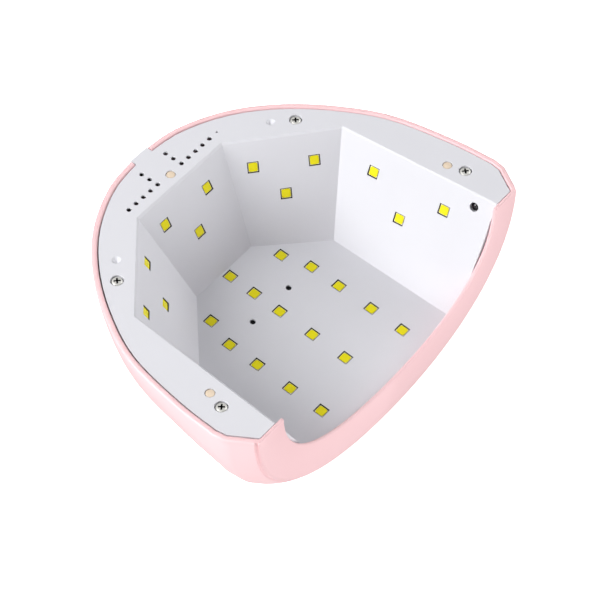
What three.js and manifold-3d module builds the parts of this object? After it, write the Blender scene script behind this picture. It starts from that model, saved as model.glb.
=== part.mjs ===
// UV LED nail lamp: a domed shell with a white faceted liner, thirty LED emitters on six small
// boards, three sprung timer buttons on top and a power jack at the back.
// Millimetres, +Z up. The lamp stands on its rim at z = 0 with its hand opening towards -Y.
import * as THREE from 'three';
import { ConvexGeometry } from 'three/addons/geometries/ConvexGeometry.js';
import { mergeVertices } from 'three/addons/utils/BufferGeometryUtils.js';
import Module from 'manifold-3d';

const wasm = await Module();
wasm.setup();

// ---- driving dimensions ---------------------------------------------------------------------
const DEPTH = 154.8;             // front face to the back of the rim
const FRONT = -DEPTH / 2;        // y of the front face; distances back from it are called "back"
const FRONT_HEIGHT = 75.4;       // top of the front arch
const CROWN_HEIGHT = 83;         // highest point of the shell
const CROWN_BACK = 67;           // where the crown line levels out
const FOOT_HALF = 94.6;          // half width of the front arch at its foot
const SHOULDER = 0.59;           // squareness of the shell's cross-section
const SHOULDER_SWELL = 0.16;     // added to it where the hood is fullest,
const SHOULDER_BACK = 12;        // this far back
const SHELL_WALL = 2.8;
const FRONT_WALL = 1.8;
const GAP = 0.3;                 // clearance between neighbours
const LIP_GAP = 0.6;             // groove between the shell's lip and the liner's flange
const FLANGE_LOW = 0.5;          // the flange sits this far up inside the lip
const FLANGE_THICK = 2.4;
const LINER_WALL = 2;
const CEILING_FRONT = 59.3;      // ceiling height at the front face
const CEILING_FALL = 0.0952;     // and how fast it falls towards the back
const BOARD_THICK = 1.6;
const WINDOW = 5.7;              // side of an emitter's square window
const EMITTER = 5;               // side of an emitter's package
const EMITTER_TALL = 1.9;
const SCREW_HEAD = 5.5;
const SCREW_RECESS = 6.3;
const SCREW_SHANK = 3;
const MAGNET = 4.3;
const MAGNET_GAP = 0.25;
const DIMPLE = 4.8;              // mouth of a moulding dimple in the flange
const VENT = 2.3;
const VENT_PITCH = 5.1;
const VENT_START = 8.6;          // first vent of a row, out from the middle
const VENT_BACK = 134.7;         // the rows, and behind them the two short columns
const VENT_COLUMN = [139.8, 144.8];
const VENT_PLATE = 0.9;          // the flange is thinner round the vents
const ARCH_HALF = 77.4;          // the hand opening in the front face
const ARCH_TALL = 53;
const ARCH_BEND = [59.5, 26.2];  // pulls the arch square: half width at its top, height at its foot
const SCREW_POST = 8;
const CEILING_POST = 6;
const CEILING_SCREW = 2.5;       // head of a screw through the ceiling, in a hole this much wider
const CEILING_HOLE = 3;
const CEILING_THREAD = 1.9;      // clearance round its shank
const SENSOR_HOLE = 4.6;
const BUTTON = 11;
const BUTTON_TRAVEL = 0.6;
const BUTTON_BACK = 24;
const BUTTON_PITCH = 17;
const BUTTON_PROUD = 0.7;
const CONTROL_TOP = 67.6;        // upper face of the control board
const SWITCH_TALL = 3.3;
const JACK_HALF = 5.7;           // half width of the power jack's housing
const JACK_TOP = 12.9;
const JACK_AXIS = 8;             // height of the plug's centre line
const JACK_BORE = 6.3;
const JACK_PIN = 1.6;

// The rim's side and back, from the end of the front corner's flat to the middle of the back:
// half width, distance back.
const CORNER_FLAT_END = [102.6, 13.2];
const RIM = [[103.6, 19.5], [102, 42], [96.2, 74], [85.1, 98.3], [69, 121.2], [48.8, 139.5],
  [24.2, 151.4], [0, DEPTH]];
const RIM_STEPS = 26;
const RISE_STEPS = 11;

// ---- finishes -------------------------------------------------------------------------------
const finish = (color, roughness, metalness = 0) => (
  new THREE.MeshStandardMaterial({ color, roughness, metalness }));
const PINK_ABS = finish('#f5c6c8', 0.32);
const WHITE_ABS = finish('#e9e9ec', 0.55);
const BUTTON_WHITE = finish('#f6f4f3', 0.35);
const PHOSPHOR = finish('#d9d428', 0.4);
const BOARD = finish('#1a1b1d', 0.5);
const CIRCUIT = finish('#1f5b38', 0.5);
const BLACK_PLASTIC = finish('#17181a', 0.45);
const SMOKED_LENS = finish('#1b1418', 0.15);
const NICKEL = finish('#b9bab8', 0.3, 1);
const MAGNET_CAP = finish('#dccab2', 0.6);
const LEAD = finish('#26262a', 0.5);

// ---- solids ---------------------------------------------------------------------------------
/** Turns a closed geometry into a solid that can be cut and joined. */
function solid(geometry) {
  const bare = geometry.clone();
  bare.deleteAttribute('normal');
  bare.deleteAttribute('uv');
  const merged = mergeVertices(bare, 1e-4);
  const corners = merged.index.array;
  const kept = [];
  for (let i = 0; i < corners.length; i += 3) {
    const [a, b, c] = corners.slice(i, i + 3);
    if (a !== b && b !== c && c !== a) kept.push(a, b, c);
  }
  return new wasm.Manifold(new wasm.Mesh({
    numProp: 3,
    vertProperties: new Float32Array(merged.attributes.position.array),
    triVerts: new Uint32Array(kept),
  }));
}

/** Gives a solid back as a plain geometry. */
function surface(body) {
  const { vertProperties, triVerts } = body.getMesh();
  const geometry = new THREE.BufferGeometry();
  geometry.setAttribute('position', new THREE.BufferAttribute(new Float32Array(vertProperties), 3));
  geometry.setIndex(new THREE.BufferAttribute(new Uint32Array(triVerts), 1));
  geometry.computeVertexNormals();
  return geometry;
}

/** A point given by its distance right of the middle, back from the front face, and height. */
const at = (right, back, up) => new THREE.Vector3(right, FRONT + back, up);

/** An upright round bar, or a cone where its two diameters differ. */
function upright(diameter, low, high, right, back, sides = 18, topDiameter = diameter) {
  const bar = new THREE.CylinderGeometry(topDiameter / 2, diameter / 2, high - low, sides);
  bar.rotateX(Math.PI / 2);
  const middle = at(right, back, (low + high) / 2);
  return bar.translate(middle.x, middle.y, middle.z);
}

/** A box between two corners. */
function block(from, to) {
  const size = to.clone().sub(from);
  const middle = from.clone().add(to).multiplyScalar(0.5);
  return new THREE.BoxGeometry(size.x, size.y, size.z).translate(middle.x, middle.y, middle.z);
}

const lamp = new THREE.Group();

/** Adds one named piece to the lamp. */
function piece(name, geometry, material) {
  const mesh = new THREE.Mesh(geometry, material);
  mesh.name = name;
  lamp.add(mesh);
  return mesh;
}

// ---- the dome -------------------------------------------------------------------------------
/** Half of the rim, inset all round, from the front corner to the middle of the back. */
function rimLine(inset, frontInset) {
  const curve = new THREE.SplineCurve(RIM.map(([half, back]) => new THREE.Vector2(half, back)));
  const points = [new THREE.Vector2(FOOT_HALF, 0)];
  for (const share of [0.35, 0.7, 1]) {
    const [half, back] = CORNER_FLAT_END;
    points.push(new THREE.Vector2(FOOT_HALF + (half - FOOT_HALF) * share, back * share));
  }
  points.push(...curve.getSpacedPoints(RIM_STEPS));
  return points.map((point, index) => {
    const before = points[Math.max(index - 1, 0)];
    const after = points[Math.min(index + 1, points.length - 1)];
    const along = after.clone().sub(before).normalize();
    const half = index === points.length - 1 ? 0 : point.x - along.y * inset;
    const back = index === 0 ? frontInset : point.y + along.x * inset;
    return new THREE.Vector2(half, index === points.length - 1 ? DEPTH - inset : back);
  });
}

/** How square the shell's shoulder is, which is most a little way behind the front face. */
function shoulder(back) {
  const reach = Math.max(back, 0) / SHOULDER_BACK;
  return SHOULDER + SHOULDER_SWELL * reach * Math.exp(1 - reach);
}

/** The closed dome under the shell's outer face, made smaller all round by an inset. */
function dome(inset, frontInset = inset, low = 0) {
  const rim = rimLine(inset, frontInset);
  const foot = rim[0].x;
  const arch = new THREE.CubicBezierCurve(
    new THREE.Vector2(foot, 0),
    new THREE.Vector2(foot, 0.62 * FRONT_HEIGHT),
    new THREE.Vector2(0, FRONT_HEIGHT - inset),
    new THREE.Vector2(0, FRONT_HEIGHT - inset),
  );
  const spine = new THREE.CubicBezierCurve(
    new THREE.Vector2(DEPTH - inset, 0),
    new THREE.Vector2(DEPTH - inset, 0.5 * CROWN_HEIGHT),
    new THREE.Vector2(0.82 * DEPTH, CROWN_HEIGHT - inset),
    new THREE.Vector2(CROWN_BACK, CROWN_HEIGHT - inset),
  );
  const rows = [];
  for (let rise = 0; rise <= RISE_STEPS; rise += 1) {
    const share = rise / RISE_STEPS;
    const front = arch.getPoint(share);
    const rear = spine.getPoint(share);
    const right = rim.map((point) => {
      const swell = 1 - (1 - Math.min(point.y / CROWN_BACK, 1)) ** 2;
      const height = front.y + (rear.y - front.y) * swell;
      const depth = (point.y - frontInset) / (DEPTH - inset - frontInset);
      const back = frontInset + depth * (rear.x - frontInset);
      const narrow = front.x / foot + 3 * (1 - share) * share ** 2 * shoulder(point.y - frontInset);
      return at(point.x * narrow, back, rise === 0 ? low : height);
    });
    const left = right.slice(0, -1).reverse();
    rows.push([...right, ...left.map(({ x, y, z }) => new THREE.Vector3(-x, y, z))]);
  }
  const points = rows.flat();
  const wide = rows[0].length;
  const faces = [];
  for (let rise = 0; rise < RISE_STEPS; rise += 1) {
    for (let along = 0; along < wide - 1; along += 1) {
      const a = rise * wide + along;
      faces.push(a, a + 1, a + 1 + wide, a, a + 1 + wide, a + wide);
    }
    const right = rise * wide;
    const left = right + wide - 1;
    faces.push(right, right + wide, left + wide, right, left + wide, left);
  }
  for (let along = 1; along < wide - 1; along += 1) faces.push(0, along + 1, along);
  const geometry = new THREE.BufferGeometry().setFromPoints(points);
  geometry.setIndex(faces);
  return solid(geometry);
}

// ---- the hand space -------------------------------------------------------------------------
const PALM = at(0, 40, 20);      // a point inside the hand space

/** A plane through three points, given as right, back and up, facing out of the hand space. */
function wallPlane(...corners) {
  const plane = new THREE.Plane().setFromCoplanarPoints(...corners.map((corner) => at(...corner)));
  return plane.distanceToPoint(PALM) > 0 ? plane.negate() : plane;
}

// Corners of the faceted walls on the right, at the rim and where they meet the ceiling.
const mirrored = ([right, back, up]) => [-right, back, up];
const ceilingAt = (back) => CEILING_FRONT - CEILING_FALL * back;
const onCeiling = (right, back) => [right, back, ceilingAt(back)];
const frontCorner = [81.5, 3.2, 0];
const sideCorner = [75.2, 90.1, 0];
const rearCorner = [30.3, 128.4, 0];
const rearTop = onCeiling(20.4, 103);
const sideCorners = [frontCorner, sideCorner, onCeiling(50.5, 75.4)];
const obliqueCorners = [sideCorner, rearCorner, rearTop];
const WALLS = {
  side_right: wallPlane(...sideCorners),
  oblique_right: wallPlane(...obliqueCorners),
  back: wallPlane(rearCorner, mirrored(rearCorner), rearTop),
  oblique_left: wallPlane(...obliqueCorners.map(mirrored)),
  side_left: wallPlane(...sideCorners.map(mirrored)),
};
const CEILING = wallPlane(onCeiling(0, 0), onCeiling(FOOT_HALF, 0), onCeiling(0, DEPTH));

/** The point where three planes meet. */
function meeting(...planes) {
  const rows = planes.flatMap(({ normal }) => normal.toArray());
  const inverse = new THREE.Matrix3().set(...rows).invert();
  return new THREE.Vector3(...planes.map(({ constant }) => -constant)).applyMatrix3(inverse);
}

/** The hand space as a solid, grown by an offset, between two heights back from a start. */
function handSpace(offset, floor, start) {
  const moved = (plane) => new THREE.Plane(plane.normal, plane.constant - offset);
  const ring = [
    new THREE.Plane(new THREE.Vector3(0, -1, 0), FRONT + start),
    ...Object.values(WALLS).map(moved),
  ];
  const ends = [moved(CEILING), new THREE.Plane(new THREE.Vector3(0, 0, -1), floor)];
  const corners = ring.flatMap((plane, index) => (
    ends.map((end) => meeting(plane, ring[(index + 1) % ring.length], end))));
  return solid(new ConvexGeometry(corners));
}

/** Stands a piece on a wall: x along it, y up it, and z out through it, away from the hand. */
function onWall(plane, foot, depth) {
  const out = plane.normal.clone();
  const along = new THREE.Vector3(0, 0, 1).cross(out).normalize();
  if (along.lengthSq() < 0.5) along.set(1, 0, 0);
  const up = out.clone().cross(along);
  const place = plane.projectPoint(foot, new THREE.Vector3()).addScaledVector(out, depth);
  return new THREE.Matrix4().makeBasis(along, up, out).setPosition(place);
}

// Every emitter: its name, the wall it is on and the point of the wall at its middle.
const EMITTERS = [];

/** Adds a row of emitters on one wall, from points given as right, back and up. */
function emitterRow(row, plane, places) {
  places.forEach((place, index) => {
    EMITTERS.push({ name: `${row}_${index + 1}`, plane, foot: at(...place) });
  });
}

const SIDE_ROW = [[26.3, 88.9], [30.8, 73.5], [30.8, 56.4], [30.8, 36.4], [30.8, 17.5]];
const sideRow = SIDE_ROW.map(([right, back]) => onCeiling(right, back));
emitterRow('ceiling_centre', CEILING, [99.1, 84, 68.1, 48, 27.9].map((back) => onCeiling(0, back)));
emitterRow('ceiling_left', CEILING, sideRow.map(mirrored));
emitterRow('ceiling_right', CEILING, sideRow);
// Three to a wall: two low and one above them.
const WALL_EMITTERS = {
  back: [[-12.2, 121, 11.8], [18, 121, 11.8], [2.4, 114, 25.7]],
  oblique_left: [[-36.5, 114, 13.4], [-59.1, 94.2, 14], [-43, 99, 27.4]],
  oblique_right: [[43.1, 111.4, 9.2], [65.2, 92.2, 9.2], [47.7, 97, 24.2]],
  side_right: [[70.4, 66.9, 13.4], [72.6, 26.2, 14.4], [64.5, 46.5, 28]],
};
WALL_EMITTERS.side_left = WALL_EMITTERS.side_right.map(mirrored);
for (const [wall, places] of Object.entries(WALL_EMITTERS)) emitterRow(wall, WALLS[wall], places);

// ---- where the fasteners and small fittings go ----------------------------------------------
const BASE_SCREWS = {
  front_left: [-89.2, 26.3],
  front_right: [89.2, 26.3],
  rear_left: [-64.5, 110.3],
  rear_right: [64.5, 110.3],
};
const MAGNETS = { left: [-86.7, 35.1], right: [86.7, 35.1], rear: [0, 134.1] };
const DIMPLES = [[-55.7, 118.7], [55.7, 118.7]];
const CEILING_SCREWS = { left: [-13.5, 73.7], right: [13.5, 73.7] };
const PINHOLE = [-34.4, VENT_BACK];
const SENSOR = [77.7, 12.3, 6.5];
const BUTTONS = { left: -BUTTON_PITCH, middle: 0, right: BUTTON_PITCH };
const flangeTop = FLANGE_LOW + FLANGE_THICK;
const cupTop = flangeTop + 2;    // top of the cups that the screw heads pull on
const postLow = cupTop + GAP;
const cutLow = -1;               // cuts start below the rim

// ---- outer shell ----------------------------------------------------------------------------
const outside = dome(0);
const inside = dome(SHELL_WALL, FRONT_WALL, cutLow);

/** The posts that the base screws and the ceiling screws are driven into. */
function shellPosts() {
  const posts = Object.values(BASE_SCREWS).map(([right, back]) => (
    solid(upright(SCREW_POST, postLow, CROWN_HEIGHT, right, back))
      .subtract(solid(upright(SCREW_SHANK + 0.4, 0, postLow + 12, right, back, 16)))));
  for (const [right, back] of Object.values(CEILING_SCREWS)) {
    const low = ceilingAt(back) + LINER_WALL + BOARD_THICK + 3 * GAP;
    posts.push(solid(upright(CEILING_POST, low, CROWN_HEIGHT, right, back))
      .subtract(solid(upright(CEILING_THREAD, 0, low + 6, right, back, 16))));
  }
  return posts.reduce((all, post) => all.add(post));
}

/** A cut through the front wall, in the shape of the hand opening. */
function handArch() {
  const [topHalf, footUp] = ARCH_BEND;
  const shape = new THREE.Shape();
  shape.moveTo(-ARCH_HALF, cutLow);
  shape.lineTo(ARCH_HALF, cutLow);
  shape.lineTo(ARCH_HALF, 0);
  shape.bezierCurveTo(ARCH_HALF, footUp, topHalf, ARCH_TALL, 0, ARCH_TALL);
  shape.bezierCurveTo(-topHalf, ARCH_TALL, -ARCH_HALF, footUp, -ARCH_HALF, 0);
  const cut = new THREE.ExtrudeGeometry(shape, { depth: 3, bevelEnabled: false, curveSegments: 20 });
  return solid(cut.rotateX(Math.PI / 2).translate(0, FRONT + FRONT_WALL + 0.6, 0));
}

function outerShell() {
  let shell = outside.subtract(inside).add(shellPosts().intersect(outside));
  shell = shell.subtract(handArch());
  for (const right of Object.values(BUTTONS)) {
    const hole = upright(BUTTON + 0.7, CONTROL_TOP + 2, CROWN_HEIGHT, right, BUTTON_BACK, 24);
    shell = shell.subtract(solid(hole));
  }
  const notchHalf = JACK_HALF + 0.5;
  const notch = block(at(-notchHalf, DEPTH - 8, cutLow), at(notchHalf, DEPTH + 1, JACK_TOP + 0.4));
  return shell.subtract(solid(notch));
}
piece('outer_shell', surface(outerShell()), PINK_ABS);

// ---- inner liner ----------------------------------------------------------------------------
/** The flat plate that closes the lamp's underside, with a tab under the power jack. */
function flange() {
  const rim = rimLine(SHELL_WALL + LIP_GAP, FRONT_WALL + GAP);
  const left = rim.slice(0, -1).reverse().map(({ x, y }) => new THREE.Vector2(-x, y));
  const plate = new THREE.ExtrudeGeometry(new THREE.Shape([...rim, ...left]), {
    depth: FLANGE_THICK, bevelEnabled: false,
  });
  const tab = block(at(-JACK_HALF, DEPTH - 12, FLANGE_LOW), at(JACK_HALF, DEPTH - 0.2, flangeTop));
  return solid(plate.translate(0, FRONT, FLANGE_LOW)).add(solid(tab));
}

/** Everything that is cut out of the flange: screw recesses, magnet seats, dimples and vents. */
function flangeCuts() {
  const cuts = [];
  const through = flangeTop + 1;
  for (const [right, back] of Object.values(BASE_SCREWS)) {
    cuts.push(upright(SCREW_RECESS, 0, flangeTop, right, back));
    cuts.push(upright(SCREW_SHANK + 0.6, 0, cupTop + 4, right, back, 16));
  }
  for (const [right, back] of Object.values(MAGNETS)) {
    cuts.push(upright(MAGNET + 2 * MAGNET_GAP, 0, FLANGE_LOW + 1.5, right, back));
  }
  for (const [right, back] of DIMPLES) {
    cuts.push(upright(DIMPLE, FLANGE_LOW - 0.1, FLANGE_LOW + 1.5, right, back, 20, 0.8));
  }
  for (const side of [-1, 1]) {
    for (let step = 0; step < 5; step += 1) {
      const right = side * (VENT_START + VENT_PITCH * step);
      cuts.push(upright(VENT, 0, through, right, VENT_BACK, 10));
    }
    for (const back of VENT_COLUMN) {
      cuts.push(upright(VENT, 0, through, side * VENT_START, back, 10));
    }
  }
  cuts.push(upright(VENT / 2, 0, through, ...PINHOLE, 10));
  const [pocketLow, margin] = [FLANGE_LOW + VENT_PLATE, 2.6];
  const rowEnd = VENT_START + VENT_PITCH * 4 + margin;
  for (const side of [-1, 1]) {
    const spans = [
      [rowEnd, VENT_BACK - margin, VENT_BACK + margin],
      [VENT_START + margin, VENT_BACK, VENT_COLUMN[1] + margin],
    ];
    for (const [reach, from, to] of spans) {
      const inner = side * (JACK_HALF + 1.4);
      const corners = [inner, side * reach].sort((a, b) => a - b);
      cuts.push(block(at(corners[0], from, pocketLow), at(corners[1], to, through)));
    }
  }
  return cuts;
}

/** Everything that is cut through the hand space's walls: emitter windows, screws and sensors. */
function wallCuts() {
  const cuts = EMITTERS.map(({ plane, foot }) => (
    new THREE.BoxGeometry(WINDOW, WINDOW, 3 * LINER_WALL).applyMatrix4(onWall(plane, foot, 0))));
  for (const [right, back] of Object.values(CEILING_SCREWS)) {
    const skin = ceilingAt(back);
    cuts.push(upright(CEILING_HOLE, skin - LINER_WALL, skin + 1.3, right, back, 20));
    cuts.push(upright(CEILING_THREAD, skin, skin + 2 * LINER_WALL, right, back, 16));
  }
  for (const [place, wall] of [[SENSOR, 'side_right'], [mirrored(SENSOR), 'side_left']]) {
    const hole = new THREE.CylinderGeometry(SENSOR_HOLE / 2, SENSOR_HOLE / 2, 3 * LINER_WALL, 20);
    cuts.push(hole.rotateX(Math.PI / 2).applyMatrix4(onWall(WALLS[wall], at(...place), 0)));
  }
  return cuts;
}

function innerLiner() {
  const start = FRONT_WALL + GAP;
  const frontPlate = block(at(-DEPTH, start, FLANGE_LOW), at(DEPTH, start + LINER_WALL, CROWN_HEIGHT));
  let liner = handSpace(LINER_WALL, FLANGE_LOW, start).add(flange()).add(solid(frontPlate));
  for (const [right, back] of Object.values(BASE_SCREWS)) {
    liner = liner.add(solid(upright(SCREW_RECESS + 3, FLANGE_LOW + 1, cupTop, right, back)));
  }
  liner = liner.subtract(handSpace(0, cutLow, cutLow));
  for (const cut of [...flangeCuts(), ...wallCuts()]) liner = liner.subtract(solid(cut));
  const room = dome(SHELL_WALL + GAP, start, cutLow);
  return liner.intersect(room.add(flange()));
}
piece('inner_liner', surface(innerLiner()), WHITE_ABS);

// ---- emitters and their boards --------------------------------------------------------------
const emitterDepth = LINER_WALL + GAP - EMITTER_TALL / 2 - 0.05;
for (const { name, plane, foot } of EMITTERS) {
  const body = new THREE.BoxGeometry(EMITTER, EMITTER, EMITTER_TALL);
  piece(`led_${name}`, body.applyMatrix4(onWall(plane, foot, emitterDepth)), PHOSPHOR);
}

/** A thin board with rounded corners, its near face one gap outside the liner's wall. */
function boardPlate(wide, tall) {
  const radius = 2;
  const [x, y] = [wide / 2 - radius, tall / 2 - radius];
  const shape = new THREE.Shape();
  shape.moveTo(-x, -y - radius);
  [[x, -y], [x, y], [-x, y], [-x, -y]].forEach(([right, up], turn) => {
    shape.absarc(right, up, radius, (turn - 1) * Math.PI / 2, turn * Math.PI / 2);
  });
  return new THREE.ExtrudeGeometry(shape, { depth: BOARD_THICK, bevelEnabled: false, curveSegments: 4 });
}

const boardDepth = LINER_WALL + 2 * GAP;
const WALL_BOARDS = { back: [40, 27], oblique: [40, 28], side: [52, 28] };
for (const [wall, places] of Object.entries(WALL_EMITTERS)) {
  const [wide, tall] = WALL_BOARDS[wall.split('_')[0]];
  const middle = new THREE.Vector3();
  for (const place of places) middle.addScaledVector(at(...place), 1 / places.length);
  middle.z = (places[0][2] + places[2][2]) / 2;
  const plate = boardPlate(wide, tall).applyMatrix4(onWall(WALLS[wall], middle, boardDepth));
  piece(`led_board_${wall}`, plate, BOARD);
}

/** The board above the ceiling, with holes for the two ceiling screws. */
function ceilingBoard() {
  const middle = at(...onCeiling(0, 57.5));
  let board = solid(boardPlate(72, 94).applyMatrix4(onWall(CEILING, middle, boardDepth)));
  for (const [right, back] of Object.values(CEILING_SCREWS)) {
    const skin = ceilingAt(back);
    board = board.subtract(solid(upright(2.2, skin, skin + 10, right, back, 16)));
  }
  return board;
}
piece('led_board_ceiling', surface(ceilingBoard()), BOARD);

// ---- controls -------------------------------------------------------------------------------
const boardLow = CONTROL_TOP - BOARD_THICK;
const [boardWide, boardLong] = [60, 26];
const controlBoard = new THREE.BoxGeometry(boardWide, boardLong, BOARD_THICK);
controlBoard.translate(0, FRONT + BUTTON_BACK + 2, (boardLow + CONTROL_TOP) / 2);
piece('control_board', controlBoard, CIRCUIT);

// Each cap follows the dome, and has a skirt that the shell keeps in and a stem down to its switch.
const proud = dome(-BUTTON_PROUD, 0);
const SKIRT_LOW = { left: 72.9, middle: 73.7, right: 72.9 };
const [skirtWide, skirtTall, stemWide] = [BUTTON + 2.4, 1.1, 4];
const [switchHalf, plungerWide, plungerProud] = [3, 3.4, 0.8];
const switchLow = CONTROL_TOP + GAP;
const plungerTop = switchLow + SWITCH_TALL + plungerProud;
const stemLow = plungerTop + GAP + BUTTON_TRAVEL;
for (const [hand, right] of Object.entries(BUTTONS)) {
  const low = SKIRT_LOW[hand];
  const cap = solid(upright(BUTTON, low, CROWN_HEIGHT + 2, right, BUTTON_BACK, 24)).intersect(proud)
    .add(solid(upright(skirtWide, low, low + skirtTall, right, BUTTON_BACK, 24)))
    .add(solid(upright(stemWide, stemLow, low + skirtTall / 2, right, BUTTON_BACK, 16)));
  piece(`timer_button_${hand}`, surface(cap), BUTTON_WHITE);
  const from = at(right - switchHalf, BUTTON_BACK - switchHalf, switchLow);
  const to = at(right + switchHalf, BUTTON_BACK + switchHalf, switchLow + SWITCH_TALL);
  const plunger = upright(plungerWide, switchLow + 1, plungerTop, right, BUTTON_BACK, 16);
  piece(`button_switch_${hand}`, surface(solid(block(from, to)).add(solid(plunger))), BLACK_PLASTIC);
}

// ---- hand sensor: a sender and a receiver face each other across the opening ----------------
const LENS_PROFILE = [[0, 0], [1.2, 0.25], [1.9, 1], [2, 2], [2, 6], [0, 6]];
const LENS_DEPTH = 0.7;          // its tip is this far inside the wall
const lensPoints = LENS_PROFILE.map(([radius, deep]) => new THREE.Vector2(radius, deep));
const sensors = { receiver: ['side_left', mirrored(SENSOR)], sender: ['side_right', SENSOR] };
for (const [name, [wall, place]] of Object.entries(sensors)) {
  const lens = new THREE.LatheGeometry(lensPoints, 16).rotateX(Math.PI / 2);
  lens.applyMatrix4(onWall(WALLS[wall], at(...place), LENS_DEPTH));
  piece(`hand_sensor_${name}`, lens, SMOKED_LENS);
}

// ---- power jack -----------------------------------------------------------------------------
/** A round bar along the plug's centre line, between two distances back. */
function alongPlug(diameter, from, to, sides) {
  const bar = upright(diameter, from, to, 0, 0, sides).translate(0, -FRONT, 0);
  return solid(bar.rotateX(-Math.PI / 2).translate(0, FRONT, JACK_AXIS));
}

/** A housing with a socket for a barrel plug, and the pin in the middle of the socket. */
function powerJack() {
  const low = flangeTop + GAP;
  const housing = block(at(-JACK_HALF, DEPTH - 14, low), at(JACK_HALF, DEPTH - 0.5, JACK_TOP));
  const socket = alongPlug(JACK_BORE, DEPTH - 10, DEPTH + 2, 24);
  return solid(housing).subtract(socket).add(alongPlug(JACK_PIN, DEPTH - 10.5, DEPTH - 2.5, 10));
}
piece('power_jack', surface(powerJack()), BLACK_PLASTIC);

// ---- screws and magnets ---------------------------------------------------------------------
/** A cross-head screw standing head down, with the bottom of its head at a height. */
function screw({ head, headTall, shank, reach }, low, [right, back]) {
  const shoulderUp = low + headTall * 0.35;
  let body = solid(upright(head * 0.84, low, shoulderUp, right, back, 18, head))
    .add(solid(upright(head, shoulderUp, low + headTall, right, back)))
    .add(solid(upright(shank, low + headTall / 2, low + reach, right, back, 12)));
  const [slotHalf, slotReach] = [head * 0.07, head * 0.31];
  for (const [x, y] of [[slotHalf, slotReach], [slotReach, slotHalf]]) {
    const slot = block(at(right - x, back - y, low - 1), at(right + x, back + y, low + headTall / 2));
    body = body.subtract(solid(slot));
  }
  return body;
}
const M3_SCREW = { head: SCREW_HEAD, headTall: 1.8, shank: SCREW_SHANK, reach: 13 };
const M1_SCREW = { head: CEILING_SCREW, headTall: 0.9, shank: 1.4, reach: 10 };
for (const [corner, place] of Object.entries(BASE_SCREWS)) {
  piece(`base_screw_${corner}`, surface(screw(M3_SCREW, FLANGE_LOW + 0.2, place)), NICKEL);
}
for (const [hand, place] of Object.entries(CEILING_SCREWS)) {
  const low = ceilingAt(place[1]) + 0.2;
  piece(`ceiling_screw_${hand}`, surface(screw(M1_SCREW, low, place)), BLACK_PLASTIC);
}
for (const [hand, [right, back]] of Object.entries(MAGNETS)) {
  const disc = upright(MAGNET, FLANGE_LOW + 0.2, FLANGE_LOW + 1.3, right, back);
  piece(`magnet_${hand}`, disc, MAGNET_CAP);
}

// ---- leads ----------------------------------------------------------------------------------
/** A lead of round section along a route of points. */
function lead(name, route, diameter, steps) {
  const path = new THREE.CatmullRomCurve3(route.map((point) => at(...point)));
  const section = new THREE.Shape().absarc(0, 0, diameter / 2, 0, 2 * Math.PI);
  const tube = new THREE.ExtrudeGeometry(section, { steps, extrudePath: path, curveSegments: 4 });
  piece(name, tube, LEAD);
}
lead('power_lead', [[0, 139.9, 8], [0, 138.4, 8], [0, 134.5, 15], [2, 128, 36], [4, 112, 58],
  [4, 90, 66], [3, 60, 67.2], [2, 46, 66.9], [2, 39.6, 66.8]], 3, 30);
lead('led_lead', [[-22, 24, 65.5], [-22, 24, 64.3], [-22, 25.5, 63.2], [-22, 26, 62.1]], 2, 8);

export default lamp;
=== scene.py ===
"""Looks for an open-fronted UV LED nail lamp: a pale pink domed shell over a white faceted liner
that is lined with yellow emitters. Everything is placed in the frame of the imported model, in metres."""
import math

import bmesh
import bpy
from mathutils import Matrix, Quaternion, Vector
from mathutils.bvhtree import BVHTree


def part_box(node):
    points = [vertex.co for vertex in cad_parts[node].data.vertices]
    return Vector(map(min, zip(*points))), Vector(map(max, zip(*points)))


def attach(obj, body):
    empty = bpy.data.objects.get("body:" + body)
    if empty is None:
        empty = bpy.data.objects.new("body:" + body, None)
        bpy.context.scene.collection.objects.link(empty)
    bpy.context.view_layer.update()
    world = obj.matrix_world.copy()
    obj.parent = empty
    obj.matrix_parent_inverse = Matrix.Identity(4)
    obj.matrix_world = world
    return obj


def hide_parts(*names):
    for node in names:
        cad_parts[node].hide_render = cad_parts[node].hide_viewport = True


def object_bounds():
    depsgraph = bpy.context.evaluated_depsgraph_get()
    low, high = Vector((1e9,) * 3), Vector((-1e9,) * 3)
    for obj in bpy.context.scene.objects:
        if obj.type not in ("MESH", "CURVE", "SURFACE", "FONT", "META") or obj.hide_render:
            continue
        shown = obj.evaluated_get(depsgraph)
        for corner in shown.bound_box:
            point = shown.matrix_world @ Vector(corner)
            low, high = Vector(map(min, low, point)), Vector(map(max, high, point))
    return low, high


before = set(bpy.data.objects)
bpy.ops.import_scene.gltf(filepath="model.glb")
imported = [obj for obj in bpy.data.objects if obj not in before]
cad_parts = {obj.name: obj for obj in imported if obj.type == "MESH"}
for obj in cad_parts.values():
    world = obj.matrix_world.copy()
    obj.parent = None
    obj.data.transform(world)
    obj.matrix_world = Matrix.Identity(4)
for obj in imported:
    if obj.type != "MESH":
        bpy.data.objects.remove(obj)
cad_box = [list(corner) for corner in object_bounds()]
MM = 0.001

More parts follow.
